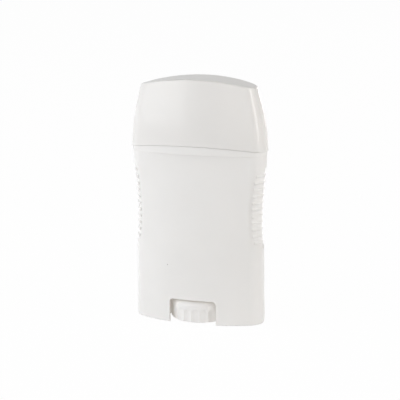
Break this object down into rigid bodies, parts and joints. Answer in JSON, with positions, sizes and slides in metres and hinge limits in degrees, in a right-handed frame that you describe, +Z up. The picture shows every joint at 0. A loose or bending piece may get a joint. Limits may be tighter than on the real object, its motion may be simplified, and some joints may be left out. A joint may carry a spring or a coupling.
{
  "type": "empty deodorant balm container",
  "caption": "Empty flat oval twist-up container for deodorant balm, with a domed push-on cap, a waisted barrel with ribbed grips and a fluted thumbwheel in its foot.",
  "frame": {"origin": "centre of the rim that the pack stands on", "axes": "+Z up through the pack, +X along its wide side, -Y is the front face"},
  "size_m": [0.066, 0.0276, 0.115],
  "materials": {
    "barrel_plastic": "satin off-white polypropylene, injection moulded",
    "cap_plastic": "satin off-white polypropylene, injection moulded, a little smoother than the barrel",
    "inner_plastic": "natural white moulded polypropylene",
    "wheel_plastic": "satin off-white moulded plastic"
  },
  "bodies": {
    "barrel": {"barrel": "barrel_plastic"},
    "cap": {"cap": "cap_plastic"},
    "elevator": {"elevator": "inner_plastic"},
    "wheel": {"thumbwheel_screw": "wheel_plastic"}
  },
  "joints": [
    {"name": "cap_lift", "type": "slide", "parent": "barrel", "child": "cap", "axis": [0, 0, 1], "range_m": [0, 0.03]},
    {"name": "wheel_turn", "type": "hinge", "parent": "barrel", "child": "wheel", "pos_m": [0, 0, 0], "axis": [0, 0, 1], "range_deg": [0, 3960]},
    {"name": "platform_rise", "type": "slide", "parent": "barrel", "child": "elevator", "axis": [0, 0, 1], "range_m": [0, 0.066]}
  ],
  "couplings": [
    {"joint": "platform_rise", "follows": "wheel_turn", "m_per_rad": 0.00095492}
  ]
}
